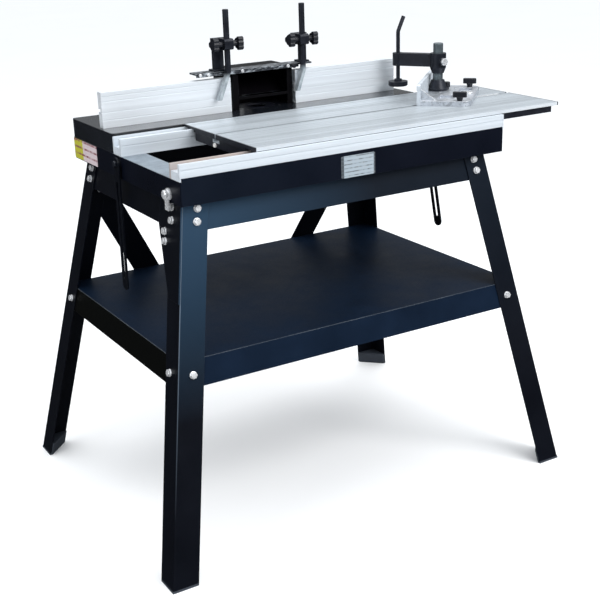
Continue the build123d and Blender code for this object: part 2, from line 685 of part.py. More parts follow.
def clamp_screw():
    """Screw with a bent top that serves as its crank."""
    u, v = SCREW_UV
    rise = Vector(14, -12, 36)
    path = FilletPolyline((u, v, 924), (u, v, 1058), (u + rise.X, v + rise.Y, 1058 + rise.Z), radius=16)
    rod = sweep(Plane(origin=(u, v, 924), z_dir=(0, 0, 1)) * Circle(5.0), path)
    return gauge(rod)


def clamp_pad():
    pad = post(*SCREW_UV, (919.5, 931.5), 25) + post(*SCREW_UV, (931, 937), 10)
    pad = chamfer(pad.edges().group_by(Axis.Z)[0], 2)
    return gauge(pad - post(*SCREW_UV, (923.5, 940), 5.06))


# ---------------------------------------------------------------- fence
def fence_base():
    y0 = FENCE_FACE_Y + BOARD_THICK + FENCE_GAP
    z0 = TOP_Z + FENCE_GAP
    foot_leg = block((50, 836), (y0, y0 + 62), (z0, z0 + 6))
    wall = block((24, 836), (y0, y0 + 6), (z0, 975))
    base = foot_leg + wall
    base -= block((HOOD_X[0] - 1, HOOD_X[1] + 1), (y0 - 1, y0 + 80), (z0 - 1, 990))
    bridge = block((HOOD_X[0] - 40, HOOD_X[1] + 40), (HOOD_Y[1] + 0.2, HOOD_Y[1] + 16), (z0, z0 + 6))
    for x in (HOOD_X[0] - 40, HOOD_X[1] + 10):
        bridge += block((x, x + 30), (y0 + 61, HOOD_Y[1] + 2), (z0, z0 + 6))
    base += bridge
    for x, z in BOARD_BOLTS:
        base -= Pos(x, y0, z) * (Rot(90, 0, 0) * Cylinder(3.2, 30))
    return base


BOARD_BOLTS = [(x, 940.0) for x in (70.0, 250.0, 600.0, 790.0)]


def board(x):
    """Extruded fence face: shallow grooves in front, a T-slot behind, closed at its outer end."""
    y0, y1 = FENCE_FACE_Y, FENCE_FACE_Y + BOARD_THICK
    z0 = TOP_Z + FENCE_GAP
    body = block(x, (y0, y1), (z0, BOARD_TOP_Z))
    ends = (x[0] - 1, x[1] + 1)
    for z in (918.0, 936.0, 961.0, 973.0):
        body -= block(ends, (y0 - 1, y0 + 1.2), (z - 0.9, z + 0.9))
    body -= block(ends, (y1 - 4, y1 + 1), (936.5, 943.5))
    body -= block(ends, (y1 - 11, y1 - 3.9), (933, 947))
    hollow = (x[0] + 3, x[1] + 1) if x == LEFT_BOARD_X else (x[0] - 1, x[1] - 3)
    body -= block(hollow, (y0 + 3, y1 - 3), (z0 + 3, 928))
    body -= block(hollow, (y0 + 3, y1 - 3), (952, BOARD_TOP_Z - 3))
    return body


def board_bolts():
    """Bolts whose square heads run in the boards' T-slots, with nuts behind the fence base."""
    pieces = []
    y1 = FENCE_FACE_Y + BOARD_THICK
    for x, z in BOARD_BOLTS:
        head = block((x - 6, x + 6), (y1 - 9.5, y1 - 4.4), (z - 6, z + 6))
        shank = Pos(x, y1 + 3, z) * (Rot(90, 0, 0) * Cylinder(3.0, 19))
        outward = Plane(origin=(x, y1 + FENCE_GAP + 6, z), z_dir=(0, 1, 0))
        washer = Cylinder(9, 1.4, align=(Align.CENTER, Align.CENTER, Align.MIN))
        nut = outward * (hexagon(13, 6) + washer)
        pieces.append(head + shank + nut)
    return pieces


def lobed_knob(lobes, r, thick, stem_r, stem):
    """A domed hand knob standing on its stem: a boss with round lobes."""
    base = (Align.CENTER, Align.CENTER, Align.MIN)
    knob = Pos(0, 0, stem) * Cylinder(r * 0.72, thick, align=base)
    for k in range(lobes):
        lobe = Pos(r * 0.62, 0, stem) * Cylinder(r * 0.38, thick, align=base)
        knob += Rot(0, 0, 360 * k / lobes) * lobe
    knob &= Pos(0, 0, stem + thick / 2) * Sphere(r * 1.04)
    return knob + Cylinder(stem_r * 1.6, stem + 1, align=base)


def hood():
    """Sheet-metal hood round the cutter, open to the front and below."""
    x, y, z = HOOD_X, HOOD_Y, (TOP_Z + FENCE_GAP, HOOD_TOP_Z)
    box = block(x, y, z) - block((x[0] + 2, x[1] - 2), (y[0] - 1, y[1] - 2), (z[0] - 1, z[1] - 2))
    for side in (-1, 1):
        edge = x[0] + 2 if side < 0 else x[1] - 2
        lip = (edge, edge + 13) if side < 0 else (edge - 13, edge)
        box += block(lip, (y[0], y[0] + 2), (z[0], z[1] - 1))
    box += block((x[0] + 2, x[1] - 2), (y[0], y[0] + 2), (925, 932))
    slope = [(y[0] + 30, 930), (y[0] + 32, 930), (y[1] - 2, 975), (y[1] - 2, 978)]
    box += along_x(slope, (x[0] + 2, x[1] - 2))
    middle = (x[0] + x[1]) / 2
    box -= Pos(middle, y[1], PORT_Z) * (Rot(90, 0, 0) * Cylinder(PORT_R - 4, 10))
    return box


def dust_port():
    """Round spigot for an extraction hose, on the hood's back."""
    middle = (HOOD_X[0] + HOOD_X[1]) / 2
    back = Plane(origin=(middle, HOOD_Y[1], PORT_Z), x_dir=(1, 0, 0), z_dir=(0, 1, 0))
    base = (Align.CENTER, Align.CENTER, Align.MIN)
    flange = extrude(RectangleRounded(70, 64, 6), 2)
    tube = Cylinder(PORT_R, 56, align=base)
    return back * (flange + tube - Cylinder(PORT_R - 2.5, 130))


def hold_down_rail():
    """Angle along the top of the hood that carries both hold-downs, slotted at its free end."""
    low, high = HOOD_TOP_Z, HOOD_TOP_Z + 4
    rail = block((252, 574), (414, 452), (low, high)) + block((252, 536), (414, 417), (low - 5, high))
    for x in (266.0, 288.0):
        rail -= Pos(x, 433, low + 1) * extrude(SlotOverall(20, 8), 6)
    return rail


def hood_screws():
    """Flat-headed screws through the rail's lip into the hood and the free end's bracket."""
    base = (Align.CENTER, Align.CENTER, Align.MIN)
    pieces = []
    for x in (262.0, 284.0, 376.0, 505.0):
        outward = Plane(origin=(x, 414, HOOD_TOP_Z - 0.5), z_dir=(0, -1, 0))
        pieces.append(outward * chamfer(Cylinder(4.2, 2.6, align=base).edges().group_by(Axis.Z)[-1], 0.8))
    return pieces


def hood_knob():
    """Small round knob on the rail's lip, next to the right hold-down."""
    base = (Align.CENTER, Align.CENTER, Align.MIN)
    head = Pos(0, 0, 3) * Cylinder(6.0, 7, align=base)
    head = fillet(head.edges().group_by(Axis.Z)[-1], 2.5)
    outward = Plane(origin=(519, 414, HOOD_TOP_Z - 0.5), z_dir=(0, -1, 0))
    return outward * (head + Cylinder(3.5, 4, align=base))


def hold_down_feet():
    """Uprights on the angle, each ending in the clamp block that grips a rod."""
    pieces = []
    z0 = HOOD_TOP_Z + 4
    for x, wide, clamp_z in zip(HOLD_DOWN_X, UPRIGHT_X, CLAMP_Z):
        py = UPRIGHT_Y
        upright = block(wide, (py - 4, py + 4), (z0, clamp_z + 8))
        upright += block((wide[0] - 3, wide[1] + 3), (py - 12, py + 18), (z0, z0 + 4))
        ends = (x - COLLAR_HALF, x + COLLAR_HALF)
        clamp = block(ends, (HOLD_DOWN_Y - 13, py), (clamp_z - 13, clamp_z + 13))
        clamp = fillet(clamp.edges().filter_by(Axis.X), 6)
        rear = (min(ends[0], wide[0]), max(ends[1], wide[1]))
        clamp += block(rear, (py - 8, py + 8), (clamp_z - 13, clamp_z + 13))
        clamp -= post(x, HOLD_DOWN_Y, (clamp_z - 40, clamp_z + 40), ROD_R + 0.06)
        for end in ends:
            clamp -= Pos(end, HOLD_DOWN_Y, clamp_z) * (Rot(0, 90, 0) * Cylinder(3.06, 12))
        pieces.append(upright + clamp)
    return pieces


def hold_down(side):
    """A rod whose lower end is bent over into a flat finger that bears on the work."""
    x = HOLD_DOWN_X[0] if side < 0 else HOLD_DOWN_X[1]
    low = 1000.0 if side < 0 else 986.0
    drop = (28.0, 66.0) if side < 0 else (18.5, 52.0)
    rod = post(x, HOLD_DOWN_Y, (low, 1146), ROD_R)
    rod = chamfer(rod.edges().group_by(Axis.Z)[-1], 1)
    t = 4.5
    points = [(x - t, low + 2), (x + t, low + 2), (x + t, low), (x + t - drop[0], low - drop[1]),
              (x - t - drop[0], low - drop[1]), (x - t, low)]
    plane = Plane(origin=(0, HOLD_DOWN_Y + 7, 0), x_dir=(1, 0, 0), z_dir=(0, -1, 0))
    return rod + prism(points, plane, 14)


def hold_down_knob(side, hand):
    """Knob on the clamp block's left or right face."""
    index = 0 if side < 0 else 1
    at = (HOLD_DOWN_X[index] + (COLLAR_HALF + 0.1) * hand, HOLD_DOWN_Y, CLAMP_Z[index])
    outward = Plane(origin=at, x_dir=(0, 1, 0), z_dir=(hand, 0, 0))
    base = (Align.CENTER, Align.CENTER, Align.MAX)
    knob = lobed_knob(3, 17.5, 13, 4, 14.5) + Cylinder(3.0, 4.5, align=base)
    return outward * knob


# ---------------------------------------------------------------- build
os.makedirs("parts", exist_ok=True)

for (sx, sy), name in zip(CORNERS, ("front_left", "front_right", "rear_left", "rear_right")):
    save(f"{name}_leg", leg(sx, sy))
save("leg_feet", *[foot(*c) for c in CORNERS])
save("long_stand_rails", stand_rail(-2), stand_rail(2))
save("short_stand_rails", stand_rail(-1), stand_rail(1))
save("shelf", shelf())
save("rear_braces", brace(-1), brace(1))
save("stand_fasteners", *stand_fasteners())
save("corner_gusset", corner_gusset())
save("hinge_stand_leaves", *hinge_stand_leaves())

save("table_frame", table_frame())
save("hinge_table_leaves", *hinge_table_leaves())
save("tongue_stud", tongue_stud())
save("tongue", tongue())
save("fixed_table", fixed_table())
save("insert_ring", insert_ring())
save("front_rail", rail(FRONT_RAIL_Y, FRONT_RAIL_TOP_Z, 887, FRAME_SHEET + 0.2))
save("rear_rail", rail(REAR_RAIL_Y, REAR_RAIL_TOP_Z, REAR_RAIL_TOP_Z))
save("rail_end_caps", *rail_end_caps())
save("glide_strips", *glide_strips())
save("front_plate", front_plate())
save("side_plate", side_plate())
save("stay_bolts", *stay_bolts())
save("left_stay", stay(-1))
save("right_stay", stay(1))

save("sliding_planks", *[plank(i) for i in range(3)])
save("slide_end_caps", *end_caps())
save("slide_bars", *slide_bars())
save("carriage", carriage())
save("travel_bumpers", *travel_bumpers())

save("mitre_bar", mitre_bar())
save("mitre_head", mitre_head())
save("mitre_fence_plate", mitre_plate())
save("front_mitre_knob", t_knob(*KNOB_UV[0]))
save("rear_mitre_knob", t_knob(*KNOB_UV[1]))
save("gauge_lock_knob", lock_knob())
save("clamp_flange", clamp_flange())
save("clamp_post", clamp_post())
save("clamp_arm", clamp_arm())
save("clamp_arm_bolt", arm_bolt())
save("clamp_screw", clamp_screw())
save("clamp_pad", clamp_pad())

save("fence_base", fence_base())
save("left_fence_board", board(LEFT_BOARD_X))
save("right_fence_board", board(RIGHT_BOARD_X))
save("board_bolts", *board_bolts())
save("cutter_hood", hood())
save("dust_port", dust_port())
save("hold_down_rail", hold_down_rail())
save("hood_screws", *hood_screws())
save("hood_knob", hood_knob())
save("hold_down_uprights", *hold_down_feet())
for side, name in ((-1, "left"), (1, "right")):
    save(f"{name}_hold_down", hold_down(side))
    save(f"{name}_hold_down_outer_knob", hold_down_knob(side, side))
    save(f"{name}_hold_down_inner_knob", hold_down_knob(side, -side))
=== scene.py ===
import bpy
from math import cos, radians, sin
from mathutils import Matrix, Vector

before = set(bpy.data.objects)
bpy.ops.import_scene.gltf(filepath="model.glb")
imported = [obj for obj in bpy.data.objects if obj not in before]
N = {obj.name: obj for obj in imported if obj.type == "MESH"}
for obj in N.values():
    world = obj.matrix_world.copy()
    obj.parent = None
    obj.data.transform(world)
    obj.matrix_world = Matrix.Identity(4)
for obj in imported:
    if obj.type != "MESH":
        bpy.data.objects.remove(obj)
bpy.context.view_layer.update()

# Places on the object that its looks follow, in metres. A pair runs from no effect to full effect.
SHELF_EDGE_Z = (0.4755, 0.4770)         # upper edge of the shelf, where a painted highlight runs
BOX_TOP_Z = (0.850, 0.8545)             # upper edge of the table box
PLANK_FRONT_Y = (-0.2870, -0.2880)      # front edge of the front plank
RAIL_LIP_FRONT_Y = (-0.2565, -0.2560)   # rear lip of the front rail, its front side; wear and painted shade darken the lip
RAIL_LIP_BACK_Y = (-0.2430, -0.2440)    # and its back side
ROD_BARE_Z = 0.992                      # the hold-downs are bare steel below here

# Camera, fitted to the object's edges.
CAMERA_AT = (-1.3824, -2.3287, 1.3919)
CAMERA_TURN = (-30.72, -19.69, -1.78)   # yaw, pitch and roll in degrees
CAMERA_LENS = 67.69                     # mm, on a sensor of this width
CAMERA_SENSOR = 36.0

FLOOR_HALF = 40.0                       # half the floor's width, in metres


def shade(color, factor, lift=0.0):
    """A colour times a factor, with a little added, held to 1."""
    return tuple(min(1, c * factor + lift) for c in color)


# ---------------------------------------------------------------- materials
class Net:
    """A material's node tree, with short calls for the nodes used here."""

    def __init__(self, name):
        self.mat = bpy.data.materials.new(name)
        self.mat.use_nodes = True
        self.tree = self.mat.node_tree
        self.bsdf = self.tree.nodes["Principled BSDF"]
        self.coord = self.tree.nodes.new("ShaderNodeTexCoord").outputs["Object"]

    def link(self, a, b):
        self.tree.links.new(a, b)

    def put(self, socket, value):
        if hasattr(value, "is_linked"):
            self.link(value, socket)
        else:
            socket.default_value = value

    def mapped(self, scale, rotation=(0, 0, 0)):
        m = self.tree.nodes.new("ShaderNodeMapping")
        m.inputs["Scale"].default_value = scale
        m.inputs["Rotation"].default_value = rotation
        self.link(self.coord, m.inputs["Vector"])
        return m.outputs["Vector"]

    def noise(self, scale, detail, rough, vector=None, distortion=0.0):
        n = self.tree.nodes.new("ShaderNodeTexNoise")
        n.inputs["Scale"].default_value = scale
        n.inputs["Detail"].default_value = detail
        n.inputs["Roughness"].default_value = rough
        n.inputs["Distortion"].default_value = distortion
        self.link(vector if vector is not None else self.coord, n.inputs["Vector"])
        return n.outputs["Fac"]

    def voronoi(self, scale):
        n = self.tree.nodes.new("ShaderNodeTexVoronoi")
        n.inputs["Scale"].default_value = scale
        self.link(self.coord, n.inputs["Vector"])
        return n.outputs["Distance"]

    def fit(self, value, lo=0.3, hi=0.7, to_lo=0.0, to_hi=1.0):
        """Stretch a value from one span to another."""
        n = self.tree.nodes.new("ShaderNodeMapRange")
        for name, v in (("From Min", lo), ("From Max", hi), ("To Min", to_lo), ("To Max", to_hi)):
            n.inputs[name].default_value = v
        self.link(value, n.inputs["Value"])
        return n.outputs["Result"]

    def mix(self, fac, a, b):
        n = self.tree.nodes.new("ShaderNodeMix")
        n.data_type = "RGBA"
        n.clamp_factor = True
        self.put(n.inputs[0], fac)
        for socket, v in ((n.inputs[6], a), (n.inputs[7], b)):
            self.put(socket, (*v, 1) if isinstance(v, tuple) and len(v) == 3 else v)
        return n.outputs[2]

    def math(self, op, a, b=0.0):
        n = self.tree.nodes.new("ShaderNodeMath")
        n.operation = op
        self.put(n.inputs[0], a)
        self.put(n.inputs[1], b)
        return n.outputs[0]

    def bump(self, height, strength, distance, normal=None):
        n = self.tree.nodes.new("ShaderNodeBump")
        n.inputs["Strength"].default_value = strength
        n.inputs["Distance"].default_value = distance
        self.link(height, n.inputs["Height"])
        if normal is not None:
            self.link(normal, n.inputs["Normal"])
        return n.outputs["Normal"]

    def rounded(self, radius):
        n = self.tree.nodes.new("ShaderNodeBevel")
        n.samples = 4
        n.inputs["Radius"].default_value = radius
        return n.outputs["Normal"]

    def edge(self, radius):
        """1 near a sharp edge and 0 away from it."""
        soft = self.rounded(radius)
        geo = self.tree.nodes.new("ShaderNodeNewGeometry")
        dot = self.tree.nodes.new("ShaderNodeVectorMath")
        dot.operation = "DOT_PRODUCT"
        self.link(soft, dot.inputs[0])
        self.link(geo.outputs["Normal"], dot.inputs[1])
        return self.fit(dot.outputs["Value"], 0.99, 0.80, 0.0, 1.0)

    def upward(self):
        """1 on faces that look up, 0 on walls and undersides."""
        return self.facing("Z", 0.6, 0.95)

    def along(self, axis, low, high):
        """0 to 1 from one place along an axis of the object to another."""
        split = self.tree.nodes.new("ShaderNodeSeparateXYZ")
        self.link(self.coord, split.inputs[0])
        return self.fit(split.outputs[axis], low, high, 0.0, 1.0)

    def times(self, *values):
        """The product of several values."""
        out = values[0]
        for v in values[1:]:
            out = self.math("MULTIPLY", out, v)
        return out

    def facing(self, axis, low, high):
        """0 to 1 as the normal's part along one axis goes from one value to another."""
        geo = self.tree.nodes.new("ShaderNodeNewGeometry")
        split = self.tree.nodes.new("ShaderNodeSeparateXYZ")
        self.link(geo.outputs["Normal"], split.inputs[0])
        return self.fit(split.outputs[axis], low, high, 0.0, 1.0)

    def done(self, color, rough, normal=None, **constants):
        self.put(self.bsdf.inputs["Base Color"], (*color, 1) if isinstance(color, tuple) else color)
        self.put(self.bsdf.inputs["Roughness"], rough)
        if normal is not None:
            self.link(normal, self.bsdf.inputs["Normal"])
        for name, v in constants.items():
            self.bsdf.inputs[name.replace("_", " ")].default_value = v
        return self.mat


def powder(name, color, rough, wear=0.25, glint=0.16, sheen=0.75, ledge=False, tray=False):
    """Sprayed and baked paint: fine orange peel, dust on what looks up, thin rubbed edges.

    sheen sets a painted bluish reflection on the front faces towards the left and, above 0.3, a
    painted highlight down the legs' corner bends; ledge greys the box's upper flange, and tray sets
    painted shade on the shelf's left side and a painted highlight along its upper edge.
    """
    n = Net(name)
    radius = 0.0012
    peel = n.noise(900, 2, 0.5)
    cloud = n.noise(7, 5, 0.6)
    speck = n.noise(260, 4, 0.7)
    dust = n.times(n.upward(), n.fit(n.noise(18, 6, 0.65), 0.35, 0.75, 0.0, 0.35))
    base = n.mix(n.fit(cloud), shade(color, 0.8), shade(color, 1.25))
    base = n.mix(dust, base, shade(color, 1.8, 0.001 if tray else 0.006))
    # painted reflection: a bluish sheen painted on the front faces, stronger higher up and towards the left
    front = n.times(n.facing("Y", -0.6, -0.95), n.along("Z", 0.35, 0.85), n.along("Y", -0.15, -0.22))
    front = n.times(front, n.math("ADD", n.along("X", 0.05, -0.40), 0.12), sheen)
    base = n.mix(front, base, (0.020, 0.052, 0.095))
    if sheen > 0.3:
        # painted highlight: a light strip painted down the legs' rounded corner bends
        corner = n.times(n.facing("X", -0.30, -0.50), n.facing("Y", -0.40, -0.60))
        painted_bend_highlight = n.times(corner, n.along("Z", 0.15, 0.65), n.along("Y", -0.20, -0.25), 0.8)
        base = n.mix(painted_bend_highlight, base, (0.13, 0.17, 0.22))
    if ledge:
        patchy = n.fit(n.noise(30, 5, 0.7), to_lo=0.6)
        base = n.mix(n.times(n.upward(), n.along("Z", *BOX_TOP_Z), patchy), base, (0.20, 0.24, 0.28))
    if tray:
        # painted shade: the shelf's left-facing sides are painted darker
        base = n.mix(n.facing("X", -0.6, -0.95), base, (0.0022, 0.0024, 0.0022))
        patchy = n.fit(n.noise(14, 4, 0.6), to_lo=0.35, to_hi=0.95)
        # painted highlight: a light line painted along the shelf's upper edge, broken by noise
        base = n.mix(n.times(n.edge(0.003), n.along("Z", *SHELF_EDGE_Z), patchy), base, (0.15, 0.17, 0.19))
    rub = n.times(n.edge(radius), n.fit(n.noise(60, 4, 0.7), 0.42, 0.62, 0.0, wear))
    base = n.mix(rub, base, (0.12, 0.14, 0.17))
    wide = n.fit(speck, to_lo=rough - 0.06, to_hi=rough + 0.06)
    wide = n.math("ADD", wide, n.fit(cloud, to_lo=-0.04, to_hi=0.05))
    wide = n.math("ADD", wide, n.times(dust, 0.25))
    return n.done(base, wide, n.bump(peel, 0.3, 0.00006, n.rounded(radius)), Specular_IOR_Level=glint)


def extruded(name, color, rough, metal, streak, front=None, lip=None):
    """Anodised extrusion: die lines along X, faint clouding, handling scuffs.

    front colours the planks' front edge, and lip colours the rear lip of the front rail darker:
    partly wear, partly painted shade under the sliding table.
    """
    n = Net(name)
    fine = n.noise(1.0, 2, 0.6, n.mapped((3, 1500, 1500)))
    broad = n.noise(1.0, 3, 0.6, n.mapped((1.5, 160, 160)))
    band = n.noise(1.0, 4, 0.65, n.mapped((0.7, 42, 42)))
    cloud = n.noise(9, 5, 0.6)
    scuff = n.noise(1.0, 5, 0.75, n.mapped((40, 220, 220), (0, 0, 0.5)))
    tone = n.mix(n.fit(broad), shade(color, 0.93), shade(color, 1.04))
    tone = n.mix(n.fit(cloud, 0.35, 0.75, 0, 0.35), tone, shade(color, 0.88))
    tone = n.mix(n.fit(band, 0.42, 0.66, 0, 0.75), tone, shade(color, streak))
    tone = n.mix(n.fit(scuff, 0.66, 0.78, 0, 0.25), tone, shade(color, 0.7))
    if front:
        tone = n.mix(n.times(n.facing("Y", -0.6, -0.95), n.along("Y", *PLANK_FRONT_Y)), tone, front)
    if lip:
        # darker brown on the rail's rear lip: partly wear, partly painted shade cast by the sliding table
        behind = n.times(n.along("Y", *RAIL_LIP_FRONT_Y), n.along("Y", *RAIL_LIP_BACK_Y))
        tone = n.mix(n.times(behind, n.fit(cloud, to_lo=0.7)), tone, lip)
    wide = n.fit(fine, to_lo=rough - 0.07, to_hi=rough + 0.07)
    wide = n.math("ADD", wide, n.fit(cloud, to_lo=-0.05, to_hi=0.05))
    height = n.math("ADD", n.times(fine, 0.6), n.times(broad, 0.4))
    return n.done(tone, wide, n.bump(height, 0.5, 0.00005, n.rounded(0.0006)), Metallic=metal)


def plated(name, color, rough):
    """Bright zinc or machined steel: uneven sheen, tiny pits."""
    n = Net(name)
    cloud = n.noise(55, 4, 0.65)
    pit = n.noise(1400, 3, 0.6)
    tone = n.mix(n.fit(cloud), shade(color, 0.82), color)
    away = n.math("SUBTRACT", 1.0, n.edge(0.002))
    grime = n.times(away, n.fit(n.noise(90, 5, 0.7), 0.5, 0.75, 0, 0.45))
    tone = n.mix(grime, tone, shade(color, 0.55))
    wide = n.fit(cloud, to_lo=rough - 0.08, to_hi=rough + 0.12)
    return n.done(tone, wide, n.bump(pit, 0.3, 0.00004, n.rounded(0.0005)), Metallic=0.65)


def blackened(name, color, rough, metal=0.3, bare_below=None):
    """Blackened steel: oily sheen, edges rubbed back towards bare metal."""
    n = Net(name)
    radius = 0.001
    cloud = n.noise(35, 5, 0.65)
    grain = n.noise(700, 3, 0.6)
    tone = n.mix(n.fit(cloud), shade(color, 0.7), shade(color, 1.5))
    if bare_below is not None:
        bare = n.math("SUBTRACT", 1.0, n.along("Z", bare_below - 0.006, bare_below + 0.006))
        steel = n.mix(n.fit(n.noise(60, 4, 0.7), 0.35, 0.65), (0.22, 0.26, 0.29), (0.46, 0.51, 0.54))
        tone = n.mix(bare, tone, steel)
    rub = n.times(n.edge(radius), n.fit(n.noise(120, 4, 0.7), 0.4, 0.6, 0.0, 0.5))
    tone = n.mix(rub, tone, (0.16, 0.17, 0.19))
    wide = n.fit(cloud, to_lo=rough - 0.08, to_hi=rough + 0.1)
    normal = n.bump(grain, 0.35, 0.00006, n.rounded(radius))
    return n.done(tone, wide, normal, Metallic=metal, Specular_IOR_Level=0.3)


def rubbed(name):
    """Black finish worn through to the aluminium in patches."""
    n = Net(name)
    patch = n.noise(1.0, 5, 0.7, n.mapped((45, 140, 140)))
    fleck = n.noise(300, 4, 0.7)
    tone = n.mix(n.fit(patch, 0.50, 0.62), (0.012, 0.014, 0.020), (0.42, 0.46, 0.50))
    tone = n.mix(n.fit(fleck, 0.55, 0.7, 0, 0.6), tone, (0.20, 0.21, 0.24))
    tone = n.mix(n.times(n.edge(0.001), 0.5), tone, (0.55, 0.60, 0.64))
    wide = n.fit(fleck, to_lo=0.28, to_hi=0.48)
    return n.done(tone, wide, n.bump(fleck, 0.3, 0.00006, n.rounded(0.0008)), Metallic=0.5)


def cast(name, color, rough):
    """Die-cast alloy, tumbled: soft pebbled skin with brighter rubbed edges."""
    n = Net(name)
    pebble = n.noise(420, 4, 0.6)
    cloud = n.noise(30, 4, 0.6)
    pock = n.voronoi(260)
    tone = n.mix(n.fit(cloud), shade(color, 0.85), shade(color, 1.08))
    tone = n.mix(n.fit(pock, 0.0, 0.12, 0.35, 0.0), tone, shade(color, 0.6))
    patch = n.noise(75, 5, 0.7)
    tone = n.mix(n.fit(patch, 0.48, 0.62, 0, 0.6), tone, shade(color, 0.32))
    tone = n.mix(n.times(n.edge(0.002), 0.6), tone, (0.88, 0.89, 0.9))
    wide = n.fit(pebble, to_lo=rough - 0.08, to_hi=rough + 0.1)
    return n.done(tone, wide, n.bump(pebble, 0.5, 0.00012, n.rounded(0.0015)), Metallic=0.9)


def moulded(name, color, rough):
    """Moulded plastic: fine spark-eroded texture, slight gloss change."""
    n = Net(name)
    spark = n.noise(1100, 3, 0.7)
    cloud = n.noise(25, 4, 0.6)
    tone = n.mix(n.fit(cloud), shade(color, 0.85), shade(color, 1.2))
    rub = n.times(n.edge(0.0015), n.fit(n.noise(150, 3, 0.6), 0.4, 0.65, 0.0, 0.35))
    tone = n.mix(rub, tone, shade(color, 2.5, 0.03))
    wide = n.fit(cloud, to_lo=rough - 0.06, to_hi=rough + 0.08)
    return n.done(tone, wide, n.bump(spark, 0.5, 0.00005, n.rounded(0.0012)), Specular_IOR_Level=0.3)


def laminate(name):
    """The fixed table's gloss black face: faint swirl marks and finger haze."""
    n = Net(name)
    haze = n.noise(6, 6, 0.65, distortion=0.6)
    swirl = n.noise(1.0, 3, 0.6, n.mapped((60, 900, 900), (0, 0, 0.35)))
    tone = n.mix(n.fit(haze, 0.35, 0.7), (0.004, 0.005, 0.007), (0.008, 0.010, 0.014))
    rub = n.times(n.edge(0.0015), n.fit(n.noise(70, 4, 0.7), 0.45, 0.65, 0.0, 0.4))
    tone = n.mix(rub, tone, (0.13, 0.135, 0.15))
    wide = n.fit(haze, 0.3, 0.75, 0.14, 0.30)
    wide = n.math("ADD", wide, n.fit(swirl, 0.6, 0.75, 0.0, 0.06))
    peel = n.noise(220, 2, 0.5)
    return n.done(tone, wide, n.bump(peel, 0.25, 0.00005, n.rounded(0.0015)), Specular_IOR_Level=0.4)


def label(name, axis, low, high, bands, ruled):
    """A blank printed plate: plain colour bands across it and plain ruled lines, no lettering."""
    n = Net(name)
    rough = 0.4
    split = n.tree.nodes.new("ShaderNodeSeparateXYZ")
    n.link(n.coord, split.inputs[0])
    ramp = n.tree.nodes.new("ShaderNodeValToRGB")
    ramp.color_ramp.interpolation = "CONSTANT"
    e = ramp.color_ramp.elements
    while len(e) < len(bands):
        e.new(0.5)
    for item, (at, c) in zip(e, bands):
        item.position = at
        item.color = (*c, 1)
    n.link(n.fit(split.outputs[axis], low, high, 0, 1), ramp.inputs["Fac"])
    tone = ramp.outputs["Color"]
    pitch, ink = ruled
    stripe = n.math("FRACT", n.math("DIVIDE", split.outputs[2], pitch))
    inside = n.times(n.math("LESS_THAN", stripe, 0.3), n.math("GREATER_THAN", stripe, 0.0))
    broken = n.fit(n.noise(70, 3, 0.7), 0.42, 0.58, 0.25, 1.0)
    tone = n.mix(n.times(inside, broken), tone, ink)
    worn = n.mix(n.fit(n.noise(90, 5, 0.7), 0.52, 0.75, 0, 0.4), tone, (0.30, 0.30, 0.30))
    wide = n.fit(n.noise(40, 4, 0.6), to_lo=rough - 0.08, to_hi=rough + 0.1)
    return n.done(worn, wide, n.bump(n.noise(500, 2, 0.5), 0.2, 0.00005))


black = powder("black_powder_coat", (0.0022, 0.0030, 0.0058), 0.36, glint=0.13)
shelf_black = powder("shelf_powder_coat", (0.0034, 0.0086, 0.0200), 0.40, glint=0.045, sheen=0.0, tray=True)
frame_black = powder("frame_powder_coat", (0.0022, 0.0032, 0.0075), 0.34, glint=0.12, sheen=0.05, ledge=True)
table_black = laminate("gloss_black_table")
hood_black = powder("hood_black", (0.0010, 0.0007, 0.0014), 0.45, wear=0.3, glint=0.06, sheen=0.0)
alu_top = extruded("table_aluminium", (0.42, 0.46, 0.495), 0.42, 0.40, 0.66, front=(0.64, 0.68, 0.72))
alu_rail = extruded("rail_aluminium", (0.59, 0.64, 0.69), 0.46, 0.25, 0.80, lip=(0.36, 0.29, 0.26))
alu_fence = extruded("fence_aluminium", (0.75, 0.79, 0.83), 0.46, 0.45, 0.84)
zinc = plated("zinc_plate", (0.93, 0.94, 0.96), 0.26)
dark = blackened("black_steel", (0.009, 0.011, 0.017), 0.36)
post_steel = blackened("post_steel", (0.085, 0.105, 0.115), 0.30, 0.5)
rod = blackened("black_rod_bare_end", (0.010, 0.012, 0.018), 0.36, bare_below=ROD_BARE_Z)
slide_black = blackened("slide_bar_black", (0.006, 0.007, 0.012), 0.40, 0.1)
rail_dark = rubbed("hold_down_rail_rubbed")
alloy = cast("cast_alloy", (0.66, 0.69, 0.74), 0.38)
knob = moulded("knob_plastic", (0.006, 0.007, 0.011), 0.38)
foot = moulded("foot_plastic", (0.035, 0.042, 0.055), 0.48)
glide = moulded("glide_plastic", (0.80, 0.79, 0.76), 0.42)
plate_ink = (0.045, 0.055, 0.065)
front_label = label("front_label_foil", 0, -0.0585, 0.0315,
                    [(0.0, plate_ink), (0.06, (0.27, 0.32, 0.36)), (0.94, plate_ink)],
                    (0.0085, (0.10, 0.115, 0.13)))
side_label = label("side_label_foil", 1, 0.155, 0.300,
                   [(0.0, (0.50, 0.42, 0.44)), (0.62, (0.38, 0.37, 0.02)), (0.99, (0.3, 0.3, 0.03))],
                   (0.016, (0.20, 0.06, 0.07)))

